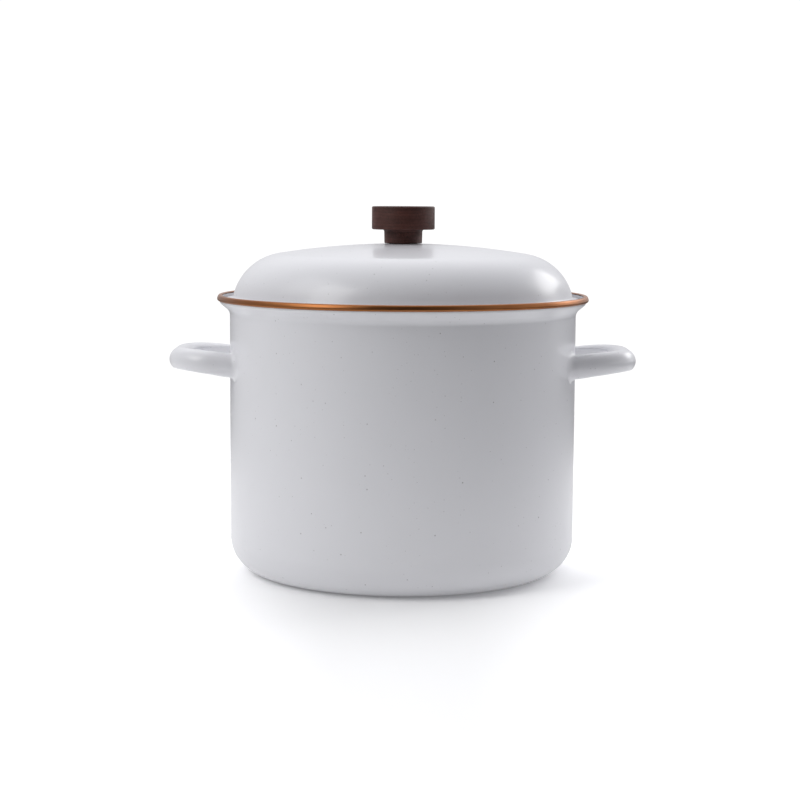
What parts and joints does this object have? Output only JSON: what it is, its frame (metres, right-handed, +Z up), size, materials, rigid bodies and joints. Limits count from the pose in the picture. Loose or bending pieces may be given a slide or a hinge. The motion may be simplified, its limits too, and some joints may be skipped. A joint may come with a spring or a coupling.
{
  "type": "water bath canner",
  "caption": "Round enamelled stockpot used as a water bath canner, with rolled copper-coloured rim, loop side handles, domed lid with a wooden knob, and a flat wire jar rack inside.",
  "frame": {"origin": "centre of the circle that the pot stands on, at the level of the surface under it", "axes": "+X out through the right-hand handle, +Y away from the viewer, +Z up through the lid's knob"},
  "size_m": [0.3226, 0.2576, 0.2539],
  "materials": {
    "enamel": "eggshell white enamel, satin gloss, sparse fine dark speckles",
    "rim_copper": "polished copper-coloured rim",
    "knob_wood": "dark walnut, oiled, satin",
    "insert_brass": "machined brass",
    "fixing_steel": "stainless, turned",
    "gasket_silicone": "matt grey silicone",
    "rack_steel": "bright stainless wire"
  },
  "bodies": {
    "pot": {"pot_shell": "enamel", "rim_band": "rim_copper", "handle_right": "enamel", "handle_left": "enamel"},
    "lid": {"lid_shell": "enamel", "knob": "knob_wood", "knob_insert": "insert_brass", "knob_screw": "fixing_steel", "knob_washer": "fixing_steel", "knob_gasket": "gasket_silicone"},
    "rack": {"rack_outer_ring": "rack_steel", "rack_second_ring": "rack_steel", "rack_third_ring": "rack_steel", "rack_hub_ring": "rack_steel", "rack_spoke_1": "rack_steel", "rack_spoke_2": "rack_steel", "rack_spoke_3": "rack_steel", "rack_spoke_4": "rack_steel", "rack_spoke_5": "rack_steel", "rack_spoke_6": "rack_steel", "rack_spoke_7": "rack_steel", "rack_spoke_8": "rack_steel", "rack_foot_1": "rack_steel", "rack_foot_2": "rack_steel", "rack_foot_3": "rack_steel", "rack_foot_4": "rack_steel"}
  },
  "joints": [
    {"name": "lid_lift", "type": "slide", "parent": "pot", "child": "lid", "axis": [0, 0, 1], "range_m": [0, 0.25]},
    {"name": "rack_lift", "type": "slide", "parent": "pot", "child": "rack", "axis": [0, 0, 1], "range_m": [0, 0.17]}
  ]
}
